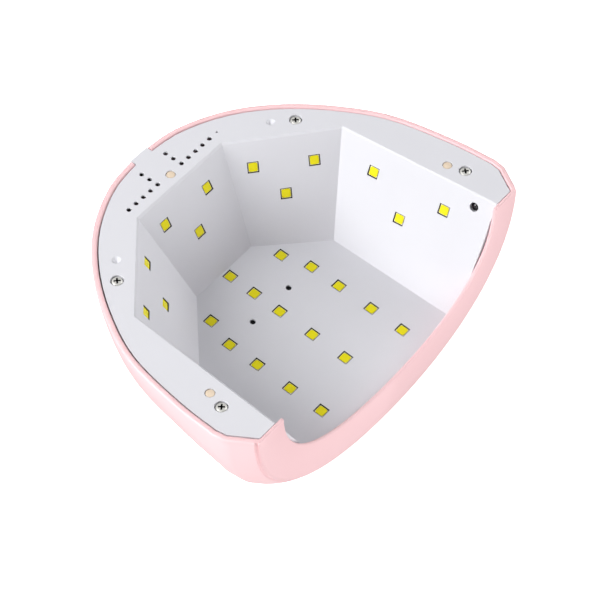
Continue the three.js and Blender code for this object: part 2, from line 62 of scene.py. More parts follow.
# ---- Camera -------------------------------------------------------------------------------------
# A long lens below and in front of the lamp, rolled over, so that the lamp reads as lying on its
# back with the hand opening towards the viewer.
camera = bpy.data.objects.new("camera", bpy.data.cameras.new("camera"))
bpy.context.scene.collection.objects.link(camera)
bpy.context.scene.camera = camera
camera.data.sensor_width = 36
camera.data.lens = 151.2
camera.data.clip_start, camera.data.clip_end = 0.05, 20
view_azimuth, view_elevation, view_roll = map(math.radians, (49.64, -50.92, 178.73))
view_target = Vector((-4.5, -15.9, 40.6)) * MM
view_distance = 1.1843
towards_camera = Vector((
    math.sin(view_azimuth) * math.cos(view_elevation),
    -math.cos(view_azimuth) * math.cos(view_elevation),
    math.sin(view_elevation),
))
camera.location = view_target + towards_camera * view_distance
camera.rotation_mode = "QUATERNION"
camera.rotation_quaternion = (
    (-towards_camera).to_track_quat("-Z", "Y") @ Quaternion((0, 0, 1), view_roll)
)

# ---- Studio -------------------------------------------------------------------------------------
# White soft boxes on the lamp's right and below for the underside, and above for the dome. There
# are two pale floors: one under the rim, seen only from above, and one against the crown, seen only
# from below. Neither shades the lamp, so each side of it is lit as if the other floor weren't there.


def linear(code):
    """The linear colour of an sRGB hex value."""
    channels = [int(code[at:at + 2], 16) / 255 for at in (1, 3, 5)]
    bent = [c / 12.92 if c <= 0.04045 else ((c + 0.055) / 1.055) ** 2.4 for c in channels]
    return (*bent, 1.0)


def add_node(tree, kind, links=None, **settings):
    """Adds a node, sets its properties and sockets, and links what feeds it."""
    node = tree.nodes.new(kind)
    for name, value in settings.items():
        if name in node.bl_rna.properties:
            setattr(node, name, value)
        else:
            node.inputs[name.replace("_", " ")].default_value = value
    for name, source in (links or {}).items():
        tree.links.new(source, node.inputs[name])
    return node


def new_material(name):
    """An empty node material and its output node."""
    made = bpy.data.materials.new(name)
    made.use_nodes = True
    made.node_tree.nodes.clear()
    return made, made.node_tree, made.node_tree.nodes.new("ShaderNodeOutputMaterial")


paper, tree, out = new_material("seamless_white_paper")
grain = add_node(tree, "ShaderNodeTexNoise", Scale=60.0, Detail=2.0)
tone = add_node(tree, "ShaderNodeValToRGB", {"Fac": grain.outputs["Fac"]})
tone.color_ramp.elements[0].color = linear("#fafafa")
tone.color_ramp.elements[1].color = linear("#ffffff")
sheet = add_node(tree, "ShaderNodeBsdfDiffuse", {"Color": tone.outputs["Color"]})
glow = add_node(tree, "ShaderNodeEmission", Color=(1, 1, 1, 1), Strength=0.8)
lit = add_node(tree, "ShaderNodeAddShader")
tree.links.new(sheet.outputs[0], lit.inputs[0])
tree.links.new(glow.outputs[0], lit.inputs[1])
side = add_node(tree, "ShaderNodeNewGeometry")
clear = add_node(tree, "ShaderNodeBsdfTransparent")
one_way = add_node(tree, "ShaderNodeMixShader", {"Fac": side.outputs["Backfacing"]})
tree.links.new(lit.outputs[0], one_way.inputs[1])
tree.links.new(clear.outputs[0], one_way.inputs[2])
tree.links.new(one_way.outputs[0], out.inputs["Surface"])

floor_half, crown_gap = 4.0, 0.4 * MM
sheets = (("floor", cad_box[0][2], 1), ("crown_floor", cad_box[1][2] + crown_gap, -1))
for name, height, faces in sheets:
    mesh = bpy.data.meshes.new(name)
    corners = [(-1, -1), (1, -1), (1, 1), (-1, 1)][::faces]
    mesh.from_pydata([(x * floor_half, y * floor_half, height) for x, y in corners], [], [(0, 1, 2, 3)])
    mesh.materials.append(paper)
    sheet_object = bpy.data.objects.new(name, mesh)
    bpy.context.scene.collection.objects.link(sheet_object)
    sheet_object.visible_shadow = False
    sheet_object.visible_diffuse = False
    sheet_object.visible_glossy = False

soft_boxes = {
    "right_front": ((1.6, -0.9, -0.25), 1.0, 7.5),
    "right_rear_below": ((1.2, 0.7, -1.0), 1.2, 33.5),
    "left_below": ((-1.4, -0.6, -0.9), 1.2, 16.5),
    "right_above": ((1.5, 0.2, 0.5), 1.4, 9),
    "front_above": ((-0.1, -1.6, 0.7), 1.2, 20.5),
    "rear_left_above": ((-1.1, 1.3, 1.0), 1.6, 18),
    "overhead": ((0.2, 0.1, 1.9), 1.8, 4),
}
lamp_middle = Vector((0, 0, 0.03))
for name, (place, size, power) in soft_boxes.items():
    light = bpy.data.lights.new(name, "AREA")
    light.shape = "DISK"
    light.size = size
    light.energy = power
    holder = bpy.data.objects.new(name, light)
    holder.location = place
    holder.rotation_mode = "QUATERNION"
    holder.rotation_quaternion = (lamp_middle - Vector(place)).to_track_quat("-Z", "Y")
    bpy.context.scene.collection.objects.link(holder)

world = bpy.data.worlds.new("white_room")
world.use_nodes = True
world.node_tree.nodes.clear()
ray = add_node(world.node_tree, "ShaderNodeLightPath")
brightness = add_node(world.node_tree, "ShaderNodeMapRange", {"Value": ray.outputs["Is Camera Ray"]})
brightness.inputs["To Min"].default_value = 0.25
brightness.inputs["To Max"].default_value = 1.0
sky = add_node(world.node_tree, "ShaderNodeBackground", {"Strength": brightness.outputs["Result"]})
sky.inputs["Color"].default_value = linear("#fdfdff")
add_node(world.node_tree, "ShaderNodeOutputWorld", {"Surface": sky.outputs[0]})
bpy.context.scene.world = world
bpy.context.scene.view_settings.view_transform = "Standard"

# ---- Outer shell --------------------------------------------------------------------------------
# One pale pink ABS moulding with a satin gloss: a hood with a flat front, an arched hand opening and
# a rounded lip below. Its cross-section is an arch that follows the rim and swells behind the front.
depth = 154.8
front_y = cad_box[0][1]
front_height, crown_height, crown_back = 75.4, 83.0, 67.0
foot_half, shell_wall, front_wall = 94.6, 2.8, 1.8
corner_flat_end = (102.6, 13.2)
rim_side = [
    (103.6, 19.5), (102, 42), (96.2, 74), (85.1, 98.3), (69, 121.2), (48.8, 139.5), (24.2, 151.4), (0, depth),
]
rim_steps, rise_steps = 72, 30
arch_half, arch_tall, arch_bend = 77.4, 53, (59.5, 26.2)
front_rise, rear_rise, rear_run = 0.62, 0.5, 0.82      # how far each curve's pull reaches
plain_shoulder, more_shoulder, shoulder_reach = 0.59, 0.16, 12


def in_frame(right, back, up):
    """A point right of the middle, back from the front face and up, in millimetres, as metres."""
    return Vector((right * MM, front_y + back * MM, up * MM))


def smooth_line(points, count):
    """Evenly spaced points on the Catmull-Rom curve through some points."""
    ends = [2 * points[0] - points[1]] + points + [2 * points[-1] - points[-2]]
    fine = []
    for before, start, end, after in zip(ends, ends[1:], ends[2:], ends[3:]):
        for step in range(24):
            t = step / 24
            fine.append(0.5 * (
                2 * start + (end - before) * t + (2 * before - 5 * start + 4 * end - after) * t ** 2
                + (3 * start - before - 3 * end + after) * t ** 3))
    fine.append(points[-1])
    reach = [0.0]
    for start, end in zip(fine, fine[1:]):
        reach.append(reach[-1] + (end - start).length)
    spaced, at = [], 0
    for step in range(count + 1):
        want = reach[-1] * step / count
        while at < len(fine) - 2 and reach[at + 1] < want:
            at += 1
        share = (want - reach[at]) / (reach[at + 1] - reach[at])
        spaced.append(fine[at].lerp(fine[at + 1], share))
    return spaced


def rim_line(inset, front_inset):
    """Half of the rim, inset all round, from the front corner to the middle of the back."""
    corner = [Vector((foot_half, 0)).lerp(Vector(corner_flat_end), share / 6) for share in range(7)]
    points = corner + smooth_line([Vector(point) for point in rim_side], rim_steps)
    line = []
    for index, point in enumerate(points):
        along = (points[min(index + 1, len(points) - 1)] - points[max(index - 1, 0)]).normalized()
        line.append(Vector((point.x - along.y * inset, point.y + along.x * inset)))
    line[0].y = front_inset
    line[-1] = Vector((0, depth - inset))
    return line


def bend(share, start, first, second, end):
    """A point on a cubic Bezier curve."""
    rest = 1 - share
    return (rest ** 3 * start + 3 * rest ** 2 * share * first
            + 3 * rest * share ** 2 * second + share ** 3 * end)


def shoulder(back):
    """How square the cross-section's shoulder is."""
    reach = max(back, 0) / shoulder_reach
    return plain_shoulder + more_shoulder * reach * math.exp(1 - reach)


def hood_point(point, share, inset, front_inset):
    """A point of the hood's skin above a point of its rim, at a share of the way up."""
    front_up = bend(share, 0, front_rise * front_height, front_height - inset, front_height - inset)
    rear_up = bend(share, 0, rear_rise * crown_height, crown_height - inset, crown_height - inset)
    rear_back = bend(share, depth - inset, depth - inset, rear_run * depth, crown_back)
    narrow = (1 - share) ** 3 + 3 * (1 - share) ** 2 * share
    narrow += 3 * (1 - share) * share ** 2 * shoulder(point.y - front_inset)
    swell = 1 - (1 - min(point.y / crown_back, 1)) ** 2
    deep = (point.y - front_inset) / (depth - inset - front_inset)
    back = front_inset + deep * (rear_back - front_inset)
    return in_frame(point.x * narrow, back, front_up + (rear_up - front_up) * swell)


def hood_rows(inset, front_inset):
    """The hood's skin as rows of points from the rim up, each from front right round to front left."""
    rim = rim_line(inset, front_inset)
    rows = []
    for rise in range(rise_steps + 1):
        right = [hood_point(point, rise / rise_steps, inset, front_inset) for point in rim]
        rows.append(right + [Vector((-p.x, p.y, p.z)) for p in reversed(right[:-1])])
    return rows


def opening_point(share, back):
    """A point on the arch of the hand opening, at a share of the way from its right foot to its top."""
    right = bend(share, arch_half, arch_half, arch_bend[0], 0)
    return in_frame(right, back, bend(share, 0, arch_bend[1], arch_tall, arch_tall))


def shell_mesh():
    """The shell as one closed skin, with square edges."""
    outer, inner = hood_rows(0, 0), hood_rows(shell_wall, front_wall)
    skin = bmesh.new()
    grids = []
    for rows in (outer, inner):
        grids.append([[skin.verts.new(point) for point in row] for row in rows])
    openings = []
    for back in (0, front_wall):
        right = [opening_point(rise / rise_steps, back) for rise in range(rise_steps + 1)]
        openings.append([[skin.verts.new(point) for point in right],
                         [skin.verts.new(Vector((-p.x, p.y, p.z))) for p in right]])
    for side in range(rise_steps):
        for along in range(len(outer[0]) - 1):
            for grid in grids:
                skin.faces.new((grid[side][along], grid[side][along + 1],
                                grid[side + 1][along + 1], grid[side + 1][along]))
        for end, column in ((0, 0), (1, -1)):
            for grid, arch in zip(grids, openings):
                skin.faces.new((grid[side][column], grid[side + 1][column],
                                arch[end][side + 1], arch[end][side]))
            skin.faces.new((openings[0][end][side], openings[0][end][side + 1],
                            openings[1][end][side + 1], openings[1][end][side]))
    for along in range(len(outer[0]) - 1):
        skin.faces.new((grids[0][0][along], grids[0][0][along + 1],
                        grids[1][0][along + 1], grids[1][0][along]))
    for end, column in ((0, 0), (1, -1)):
        skin.faces.new((grids[0][0][column], grids[1][0][column], openings[1][end][0], openings[0][end][0]))
    bmesh.ops.remove_doubles(skin, verts=skin.verts, dist=0.02 * MM)
    bmesh.ops.dissolve_degenerate(skin, edges=skin.edges, dist=0.01 * MM)
    bmesh.ops.recalc_face_normals(skin, faces=skin.faces)
    return skin


def piece_from(skin, name):
    """Makes a named, smooth-shaded object of a bmesh and frees it."""
    mesh = bpy.data.meshes.new(name)
    skin.to_mesh(mesh)
    skin.free()
    for face in mesh.polygons:
        face.use_smooth = True
    made = bpy.data.objects.new(name, mesh)
    bpy.context.scene.collection.objects.link(made)
    return made


def settle(made):
    """Turns an object's modifiers into its plain mesh."""
    bpy.context.view_layer.update()
    done = bpy.data.meshes.new_from_object(made.evaluated_get(bpy.context.evaluated_depsgraph_get()))
    made.modifiers.clear()
    made.data = done
    return made


def soften(made, radius, segments=3, angle=35):
    """Rounds a piece's sharp edges and keeps its broad faces shaded flat."""
    edge = made.modifiers.new("edges", "BEVEL")
    edge.width = radius * MM
    edge.segments = segments
    edge.limit_method = "ANGLE"
    edge.angle_limit = math.radians(angle)
    edge.harden_normals = True
    return made


def carve(made, skin):
    """Cuts a bmesh solid out of a piece."""
    tool = piece_from(skin, "tool")
    cut = made.modifiers.new("cut", "BOOLEAN")
    cut.operation = "DIFFERENCE"
    cut.solver = "EXACT"
    cut.object = tool
    settle(made)
    bpy.data.objects.remove(tool)
    return made


def bar(diameter, low, high, right, back, sides):
    """An upright round bar as a bmesh, in millimetres from the front face."""
    skin = bmesh.new()
    bmesh.ops.create_cone(
        skin, cap_ends=True, segments=sides, radius1=diameter / 2 * MM, radius2=diameter / 2 * MM,
        depth=(high - low) * MM, matrix=Matrix.Translation(in_frame(right, back, (low + high) / 2)))
    return skin


def slab(half_x, low_back, high_back, low, high):
    """A box about the middle as a bmesh, in millimetres from the front face."""
    skin = bmesh.new()
    middle = in_frame(0, (low_back + high_back) / 2, (low + high) / 2)
    size = Matrix.Diagonal((2 * half_x * MM, (high_back - low_back) * MM, (high - low) * MM, 1))
    bmesh.ops.create_cube(skin, size=1, matrix=Matrix.Translation(middle) @ size)
    return skin


button_diameter, button_gap, button_back = 11.0, 0.35, 24.0
button_places = {"left": -17.0, "middle": 0.0, "right": 17.0}
jack_half, jack_top, notch_deep = 5.7, 12.9, 8
seam_near, seam_far, seam_deep = 0.5, 2.0, 0.8
shell = piece_from(shell_mesh(), "hood_shell")
soften(shell, 0.9, 4)
settle(shell)
for right in button_places.values():
    carve(shell, bar(button_diameter + 2 * button_gap, 66, 90, right, button_back, 64))
carve(shell, slab(jack_half + 0.5, depth - notch_deep, depth + 1, -1, jack_top + 0.4))


def seam_cutter(near, far, deep):
    """A cutter for the fine seam round the hood, between two distances behind the front face."""
    skin = bmesh.new()
    strips = []
    for inset, back in ((-0.6, near), (-0.6, far), (deep, far), (deep, near)):
        foot = Vector((foot_half, 0)).lerp(Vector(corner_flat_end), back / corner_flat_end[1])
        foot.x -= inset
        foot.y = back
        right = [hood_point(foot, rise / rise_steps, inset, 0) for rise in range(rise_steps + 1)]
        right.insert(0, right[0] - Vector((0, 0, MM)))
        for point in right:
            point.y = front_y + back * MM
        line = right + [Vector((-p.x, p.y, p.z)) for p in reversed(right[:-1])]
        strips.append([skin.verts.new(point) for point in line])
    for side in range(4):
        here, there = strips[side], strips[(side + 1) % 4]
        for at in range(len(here) - 1):
            skin.faces.new((here[at], here[at + 1], there[at + 1], there[at]))
    for end in (0, -1):
        skin.faces.new([strip[end] for strip in strips])
    bmesh.ops.recalc_face_normals(skin, faces=skin.faces)
    return skin


carve(shell, seam_cutter(seam_near, seam_far, seam_deep))
shell.data.set_sharp_from_angle(angle=math.radians(40))


def moulded_plastic(name, colour, tint, roughness, grain_mm, depth_mm, coat=0.0):
    """Injection-moulded plastic: an even colour with faint clouding and the mould's fine texture."""
    made, tree, out = new_material(name)
    place = add_node(tree, "ShaderNodeTexCoord")
    cloud = add_node(
        tree, "ShaderNodeTexNoise", {"Vector": place.outputs["Object"]}, Scale=28.0, Detail=3.0)
    shade = add_node(tree, "ShaderNodeMix", {"Factor": cloud.outputs["Fac"]}, data_type="RGBA")
    shade.inputs[6].default_value = linear(colour)
    shade.inputs[7].default_value = linear(tint)
    texture = add_node(
        tree, "ShaderNodeTexNoise", {"Vector": place.outputs["Object"]},
        Scale=1 / (grain_mm * MM), Detail=2.0)
    rough = add_node(tree, "ShaderNodeMapRange", {"Value": cloud.outputs["Fac"]})
    rough.inputs["To Min"].default_value = roughness - 0.04
    rough.inputs["To Max"].default_value = roughness + 0.04
    relief = add_node(
        tree, "ShaderNodeBump", {"Height": texture.outputs["Fac"]}, Strength=1.0, Distance=depth_mm * MM)
    body = add_node(tree, "ShaderNodeBsdfPrincipled", {
        "Base Color": shade.outputs[2], "Roughness": rough.outputs["Result"],
        "Normal": relief.outputs["Normal"],
    }, IOR=1.53, Coat_Weight=coat, Coat_Roughness=0.15)
    tree.links.new(body.outputs[0], out.inputs["Surface"])
    return made


# Moulded ABS, pale pink, from a fine-stoned tool: soft broad highlights and a faint orange peel.
pink_abs = moulded_plastic("moulded_pink_abs", "#f4c9cc", "#f5cdd0", 0.4, 1.6, 0.012)
shell.data.materials.clear()
shell.data.materials.append(pink_abs)
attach(shell, "root")
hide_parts("outer_shell")

# ---- Inner liner --------------------------------------------------------------------------------
# A white ABS moulding: a flat flange that closes the underside, and the faceted cup that the hand
# goes into, with a square window for each emitter. Four screws hold it to the shell's posts.


def turned(profile, sides=40):
    """A bmesh turned from (radius, height) points, whose first and last lie on the axis."""
    skin = bmesh.new()
    rings = []
    for radius, height in profile:
        if radius == 0:
            rings.append([skin.verts.new((0, 0, height * MM))] * sides)
            continue
        angles = [2 * math.pi * side / sides for side in range(sides)]
        rings.append([skin.verts.new((radius * math.cos(a) * MM, radius * math.sin(a) * MM, height * MM))
                      for a in angles])
    for lower, upper in zip(rings, rings[1:]):
        for at in range(sides):
            after = (at + 1) % sides
            corners = dict.fromkeys((lower[at], lower[after], upper[after], upper[at]))
            skin.faces.new(tuple(corners))
    bmesh.ops.recalc_face_normals(skin, faces=skin.faces)
    return skin


def merged_copy(node, name):
    """A copy of a CAD node with its corners joined."""
    skin = bmesh.new()
    skin.from_mesh(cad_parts[node].data)
    bmesh.ops.remove_doubles(skin, verts=skin.verts, dist=0.002 * MM)
    bmesh.ops.dissolve_degenerate(skin, edges=skin.edges, dist=0.002 * MM)
    return piece_from(skin, name)


def joined(parts):
    """Several bmeshes as one, freeing them."""
    whole = bmesh.new()
    for part in parts:
        mesh = bpy.data.meshes.new("part")
        part.to_mesh(mesh)
        part.free()
        whole.from_mesh(mesh)
        bpy.data.meshes.remove(mesh)
    return whole


flange_low = 0.5


def flared_hole(diameter, depth, flare, node=None, place=None):
    """A cutter for a round hole up into the flange, its mouth flared, at a CAD node or a place."""
    if node:
        low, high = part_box(node)
        place = ((low.x + high.x) / 2 / MM, ((low.y + high.y) / 2 - front_y) / MM)
    skin = turned([
        (0, flange_low - 1), (diameter / 2 + flare + 1, flange_low - 1),
        (diameter / 2, flange_low + flare), (diameter / 2, flange_low + depth), (0, flange_low + depth)])
    bmesh.ops.transform(skin, matrix=Matrix.Translation(in_frame(*place, 0)), verts=skin.verts)
    return skin


def mouth_flare():
    """A cutter that breaks the edge between the flange and the walls of the hand space."""
    corners = [(81.7, -4), (81.5, 3.2), (75.2, 90.1), (30.3, 128.4)]
    ring = corners + [(-right, back) for right, back in reversed(corners)]
    skin = bmesh.new()
    for up, grown in ((0.4, 1.0045), (1.9, 0.984)):
        for right, back in ring:
            skin.verts.new(in_frame(right * grown, 60 + (back - 60) * grown, up))
    hull = bmesh.ops.convex_hull(skin, input=skin.verts)
    bmesh.ops.delete(skin, geom=hull["geom_interior"], context="VERTS")
    bmesh.ops.recalc_face_normals(skin, faces=skin.faces)
    return skin


liner = merged_copy("inner_liner", "faceted_liner")
corners = ("front_left", "front_right", "rear_left", "rear_right")
magnet_seats = ("left", "right", "rear")
vent_start, vent_pitch, vent_back = 8.6, 5.1, 134.7
vents = [(vent_start + vent_pitch * step, vent_back) for step in range(5)]
vents += [(vent_start, back) for back in (139.8, 144.8)]
recess_wide, recess_deep, seat_wide, seat_deep, vent_wide, vent_deep = 6.4, 2.4, 4.86, 1.5, 2.4, 3
cutters = [flared_hole(recess_wide, recess_deep, 0.12, node="base_screw_" + corner) for corner in corners]
cutters += [flared_hole(seat_wide, seat_deep, 0.06, node="magnet_" + seat) for seat in magnet_seats]
cutters += [flared_hole(vent_wide, vent_deep, 0.12, place=(side * right, back))
            for right, back in vents for side in (-1, 1)]
carve(liner, joined(cutters))
carve(liner, mouth_flare())
for face in liner.data.polygons:
    face.use_smooth = False

# Moulded ABS, white with a cool cast, from a finely sparked tool: matt, with a very fine grain.
white_abs = moulded_plastic("moulded_white_abs", "#dcdce1", "#d7d7dc", 0.5, 0.9, 0.01)
liner.data.materials.clear()
liner.data.materials.append(white_abs)
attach(liner, "root")
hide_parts("inner_liner")

# ---- Emitters -----------------------------------------------------------------------------------
# Thirty surface-mount emitters stand in the windows: a square cream ceramic package, filled level
# with yellow phosphor gel. A thin black ring in each window's gap round the package is painted shade.


def copy_tree():
    """Geometry nodes that stand a piece on every point of a mesh, turned as the point says."""
    tree = bpy.data.node_groups.new("copies_on_points", "GeometryNodeTree")
    face = tree.interface
    face.new_socket("Points", in_out="INPUT", socket_type="NodeSocketGeometry")
    face.new_socket("Piece", in_out="INPUT", socket_type="NodeSocketObject")
    face.new_socket("Finish", in_out="INPUT", socket_type="NodeSocketMaterial")
    face.new_socket("Spin", in_out="INPUT", socket_type="NodeSocketFloat")
    face.new_socket("Seed", in_out="INPUT", socket_type="NodeSocketInt")
    face.new_socket("Copies", in_out="OUTPUT", socket_type="NodeSocketGeometry")
    given = add_node(tree, "NodeGroupInput")
    model = add_node(tree, "GeometryNodeObjectInfo", {"Object": given.outputs["Piece"]})
    turn = add_node(tree, "GeometryNodeInputNamedAttribute", data_type="FLOAT_VECTOR", Name="turn")
    stood = add_node(tree, "GeometryNodeInstanceOnPoints", {
        "Points": given.outputs["Points"], "Instance": model.outputs["Geometry"],
        "Rotation": turn.outputs["Attribute"],
    })
    spin = add_node(tree, "FunctionNodeRandomValue", {"Seed": given.outputs["Seed"]}, data_type="FLOAT")
    tree.links.new(given.outputs["Spin"], spin.inputs[3])
    about = add_node(tree, "ShaderNodeCombineXYZ", {"Z": spin.outputs[1]})
    spun = add_node(tree, "GeometryNodeRotateInstances", {
        "Instances": stood.outputs["Instances"], "Rotation": about.outputs["Vector"],
    })
    real = add_node(tree, "GeometryNodeRealizeInstances", {"Geometry": spun.outputs["Instances"]})
    finished = add_node(tree, "GeometryNodeSetMaterial", {
        "Geometry": real.outputs["Geometry"], "Material": given.outputs["Finish"],
    })
    result = tree.nodes.new("NodeGroupOutput")
    tree.links.new(finished.outputs["Geometry"], result.inputs["Copies"])
    return tree


copies_on_points = copy_tree()


def copies(name, skin, places, finish, spin=0.0, seed=0):
    """One piece made of copies of a bmesh: each place is a matrix whose z is the copy's own up."""
    model = piece_from(skin, "model")
    points = bpy.data.meshes.new(name)
    points.from_pydata([place.translation for place in places], [], [])
    turn = points.attributes.new("turn", "FLOAT_VECTOR", "POINT")
    for at, place in enumerate(places):
        turn.data[at].vector = place.to_euler()
    made = bpy.data.objects.new(name, points)
    bpy.context.scene.collection.objects.link(made)
    nodes = made.modifiers.new("copies", "NODES")
    nodes.node_group = copies_on_points
    values = {"Piece": model, "Finish": finish, "Spin": spin, "Seed": seed}
    for socket in copies_on_points.interface.items_tree:
        if socket.name in values:
            nodes[socket.identifier] = values[socket.name]
    settle(made)
    bpy.data.objects.remove(model)
    made.data.set_sharp_from_angle(angle=math.radians(35))
    return made


def facing(node):
    """Where an emitter stands: a matrix at its middle whose z points into the hand space."""
    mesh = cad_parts[node].data
    low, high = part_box(node)
    middle = (low + high) / 2
    broad = max(mesh.polygons, key=lambda face: face.area)
    square = next(face for face in mesh.polygons if abs(face.normal.dot(broad.normal)) < 0.1)
    palm = in_frame(0, 60, 20)
    out = broad.normal if broad.normal.dot(palm - middle) > 0 else -broad.normal
    across = square.normal - out * square.normal.dot(out)
    across.normalize()
    basis = Matrix((across, out.cross(across), out)).transposed()
    return Matrix.Translation(middle) @ basis.to_4x4()


def pillow(side, corner, bottom, levels):
    """A square with round corners, drawn up through levels of (height, inset)."""
    skin = bmesh.new()
    rings = []
    for height, inset in [(bottom, 0)] + levels:
        ring = []
        for quarter in range(4):
            for step in range(7):
                angle = math.radians(90 * quarter + 15 * step)
                reach = side / 2 - corner
                x = math.copysign(reach, math.cos(math.radians(90 * quarter + 45)))
                y = math.copysign(reach, math.sin(math.radians(90 * quarter + 45)))
                x += (corner - inset) * math.cos(angle)
                y += (corner - inset) * math.sin(angle)
                ring.append(skin.verts.new((x * MM, y * MM, height * MM)))
        rings.append(ring)
    for lower, upper in zip(rings, rings[1:]):
        for at in range(len(lower)):
            after = (at + 1) % len(lower)
            skin.faces.new((lower[at], lower[after], upper[after], upper[at]))
    skin.faces.new(rings[0][::-1])
    skin.faces.new(rings[-1])
    return skin


emitter_nodes = sorted(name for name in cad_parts
                       if name.startswith("led_") and name[-1].isdigit())
emitter_places = [facing(name) for name in emitter_nodes]
# The third size is the outside of the black painted-shade ring in each window's gap.
emitter_side, emitter_tall, gap_shade_outside = 4.9, 1.9, 5.64

# Alumina, fired: an opaque warm white with a faint sheen.
ceramic, tree, out = new_material("fired_cream_ceramic")
place = add_node(tree, "ShaderNodeTexCoord")
fleck = add_node(tree, "ShaderNodeTexNoise", {"Vector": place.outputs["Object"]}, Scale=1800.0, Detail=1.0)
tone = add_node(tree, "ShaderNodeValToRGB", {"Fac": fleck.outputs["Fac"]})
tone.color_ramp.elements[0].color = linear("#efe9cf")
tone.color_ramp.elements[1].color = linear("#f8f4e2")
body = add_node(
    tree, "ShaderNodeBsdfPrincipled", {"Base Color": tone.outputs["Color"]}, Roughness=0.45, IOR=1.6)
tree.links.new(body.outputs[0], out.inputs["Surface"])

# Silicone gel loaded with phosphor, poured and cured: saturated yellow, glossy, finely mottled.
gel, tree, out = new_material("poured_phosphor_gel")
place = add_node(tree, "ShaderNodeTexCoord")
grit = add_node(tree, "ShaderNodeTexNoise", {"Vector": place.outputs["Object"]}, Scale=2600.0, Detail=2.0)
tone = add_node(tree, "ShaderNodeValToRGB", {"Fac": grit.outputs["Fac"]})
tone.color_ramp.elements[0].color = linear("#e8da04")
tone.color_ramp.elements[1].color = linear("#f2e826")
swirl = add_node(tree, "ShaderNodeBump", {"Height": grit.outputs["Fac"]}, Distance=0.01 * MM)
body = add_node(tree, "ShaderNodeBsdfPrincipled", {
    "Base Color": tone.outputs["Color"], "Normal": swirl.outputs["Normal"],
}, Roughness=0.25, IOR=1.41)
tree.links.new(body.outputs[0], out.inputs["Surface"])

half_tall = emitter_tall / 2
packages = copies("emitter_packages", pillow(
    emitter_side, 0.5, -half_tall, [(half_tall - 0.2, 0), (half_tall - 0.14, 0.06)],
), emitter_places, ceramic)
gels = copies("emitter_gels", pillow(
    emitter_side - 0.35, 1.0, half_tall - 0.13,
    [(half_tall - 0.06, 0.02), (half_tall - 0.02, 0.2), (half_tall, 0.6)],
), emitter_places, gel)
for made in (packages, gels):
    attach(made, "root")
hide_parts(*emitter_nodes)


def square_ring(outside, inside, bottom, top):
    """A square frame, in millimetres about its middle."""
    skin = bmesh.new()
    turns = ((1, 1), (-1, 1), (-1, -1), (1, -1))
    rings = [[skin.verts.new((x * side / 2 * MM, y * side / 2 * MM, height * MM)) for x, y in turns]
             for side, height in ((outside, bottom), (outside, top), (inside, top), (inside, bottom))]
    for level in range(4):
        lower, upper = rings[level], rings[(level + 1) % 4]
        for at in range(4):
            after = (at + 1) % 4
            skin.faces.new((lower[at], lower[after], upper[after], upper[at]))
    bmesh.ops.recalc_face_normals(skin, faces=skin.faces)
    return skin


# Painted shade: a soot-black, matt ring with a faint speckle, filling each window's dark gap round its
# emitter.
gap_shade_black, tree, out = new_material("painted_gap_shade")
place = add_node(tree, "ShaderNodeTexCoord")
shade_speckle = add_node(tree, "ShaderNodeTexVoronoi", {"Vector": place.outputs["Object"]}, Scale=3500.0)
tone = add_node(tree, "ShaderNodeValToRGB", {"Fac": shade_speckle.outputs["Distance"]})
tone.color_ramp.elements[0].color = linear("#050505")
tone.color_ramp.elements[1].color = linear("#121212")
body = add_node(tree, "ShaderNodeBsdfPrincipled", {"Base Color": tone.outputs["Color"]},
                Roughness=0.95, Specular_IOR_Level=0.15)
tree.links.new(body.outputs[0], out.inputs["Surface"])
# Black rings that fill the windows' gaps round the emitters: painted shade.
gap_shade_rings = copies("emitter_seals", square_ring(gap_shade_outside, emitter_side + 0.02, -half_tall, half_tall + 0.12),
               emitter_places, gap_shade_black)
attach(gap_shade_rings, "root")

# ---- Emitter boards -----------------------------------------------------------------------------
# Six aluminium-cored circuit boards carry the emitters, one behind each wall and one above the
# ceiling. Their solder mask is black, and the black painted-shade rings in the windows hide most of it.

# Printed solder mask: near black, semi-gloss, with the slight orange peel of a screened coat.
black_mask, tree, out = new_material("screened_black_solder_mask")
place = add_node(tree, "ShaderNodeTexCoord")
peel = add_node(tree, "ShaderNodeTexNoise", {"Vector": place.outputs["Object"]}, Scale=1400.0, Detail=2.0)
tone = add_node(tree, "ShaderNodeValToRGB", {"Fac": peel.outputs["Fac"]})
tone.color_ramp.elements[0].color = linear("#0c0c0d")
tone.color_ramp.elements[1].color = linear("#161618")
ripple = add_node(tree, "ShaderNodeBump", {"Height": peel.outputs["Fac"]}, Distance=0.02 * MM)
body = add_node(tree, "ShaderNodeBsdfPrincipled", {
    "Base Color": tone.outputs["Color"], "Normal": ripple.outputs["Normal"],
}, Roughness=0.5, IOR=1.5)
tree.links.new(body.outputs[0], out.inputs["Surface"])
for name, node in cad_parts.items():
    if name.startswith("led_board"):
        node.data.materials.clear()
        node.data.materials.append(black_mask)

# ---- Base screws --------------------------------------------------------------------------------
# Four M3 pan-head self-tapping screws with a cross recess, nickel plated, sunk in round recesses of
# the flange. Each was driven home to its own angle.


def crossed(skin, reach, width, top, deep):
    """Cuts a cross recess, narrowing as it goes down, into the top of a screw, and marks the recess faces for
    painted shade.
    """
    screw = piece_from(skin, "screw")
    for turn in (0, 90):
        cutter = bmesh.new()
        bmesh.ops.create_cube(cutter, size=1)
        for corner in cutter.verts:
            narrow = 0.45 if corner.co.z < 0 else 1
            corner.co = Vector((corner.co.x * reach * narrow, corner.co.y * width * (narrow + 1) / 2,
                                top - deep * (0.5 - corner.co.z))) * MM
        bmesh.ops.transform(cutter, matrix=Matrix.Rotation(math.radians(turn), 4, "Z"), verts=cutter.verts)
        carve(screw, cutter)
    # Marks the faces inside the recess, which the finish paints with shade.
    inside = screw.data.attributes.new("recess", "FLOAT", "FACE")
    for face in screw.data.polygons:
        sunk = (top - deep - 0.01) * MM < face.center.z < (top - 0.35) * MM
        inside.data[face.index].value = float(sunk and face.center.xy.length < 0.5 * reach * MM)
    cut = bmesh.new()
    cut.from_mesh(screw.data)
    bpy.data.objects.remove(screw)
    return cut


